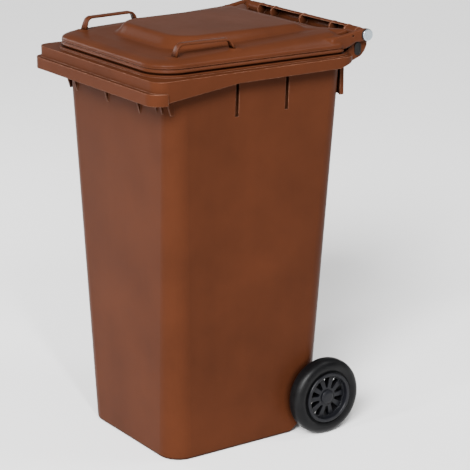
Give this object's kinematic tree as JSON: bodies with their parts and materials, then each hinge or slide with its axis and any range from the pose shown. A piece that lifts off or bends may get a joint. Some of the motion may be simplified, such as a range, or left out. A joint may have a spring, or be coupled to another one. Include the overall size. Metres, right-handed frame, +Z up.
{
  "type": "wheelie bin",
  "caption": "Tall tapered two-wheeled refuse bin with a hinged raised-panel lid, strap handles on the lid, a front lifting lip and a rear grip.",
  "frame": {"origin": "on the ground, midway between the wheels and under the middle of the tub", "axes": "+Z up, -Y towards the front lip, +Y towards the wheels and the grip, +X to the right when the front lip faces the viewer"},
  "size_m": [0.58, 0.651, 1.059],
  "materials": {
    "bin_plastic": "moulded polyethylene, satin, brown",
    "tyre_rubber": "smooth black rubber",
    "wheel_plastic": "moulded dark grey plastic",
    "black_plastic": "moulded black plastic",
    "nylon": "natural nylon",
    "zinc_steel": "pale zinc plated steel",
    "steel": "galvanised steel"
  },
  "bodies": {
    "bin": {"arm_plug_left": "black_plastic", "arm_plug_right": "black_plastic", "axle": "steel", "axle_clip_left": "steel", "axle_clip_right": "steel", "axle_washer_left": "steel", "axle_washer_right": "steel", "body": "bin_plastic", "chip_plug": "black_plastic", "hinge_pin_left": "zinc_steel", "hinge_pin_right": "zinc_steel"},
    "lid": {"lid": "bin_plastic", "hinge_bush_left": "black_plastic", "hinge_bush_right": "black_plastic"},
    "wheel_left": {"tyre_left": "tyre_rubber", "wheel_rim_left": "wheel_plastic", "wheel_bush_left": "nylon", "hub_cap_left": "wheel_plastic"},
    "wheel_right": {"tyre_right": "tyre_rubber", "wheel_rim_right": "wheel_plastic", "wheel_bush_right": "nylon", "hub_cap_right": "wheel_plastic"}
  },
  "joints": [
    {"name": "lid_hinge", "type": "hinge", "parent": "bin", "child": "lid", "pos_m": [0, 0.317, 1.031], "axis": [-1, 0, 0], "range_deg": [0, 270]},
    {"name": "wheel_left_spin", "type": "hinge", "parent": "bin", "child": "wheel_left", "pos_m": [-0.24, 0.215, 0.1], "axis": [1, 0, 0], "continuous": true},
    {"name": "wheel_right_spin", "type": "hinge", "parent": "bin", "child": "wheel_right", "pos_m": [0.24, 0.215, 0.1], "axis": [1, 0, 0], "continuous": true}
  ]
}
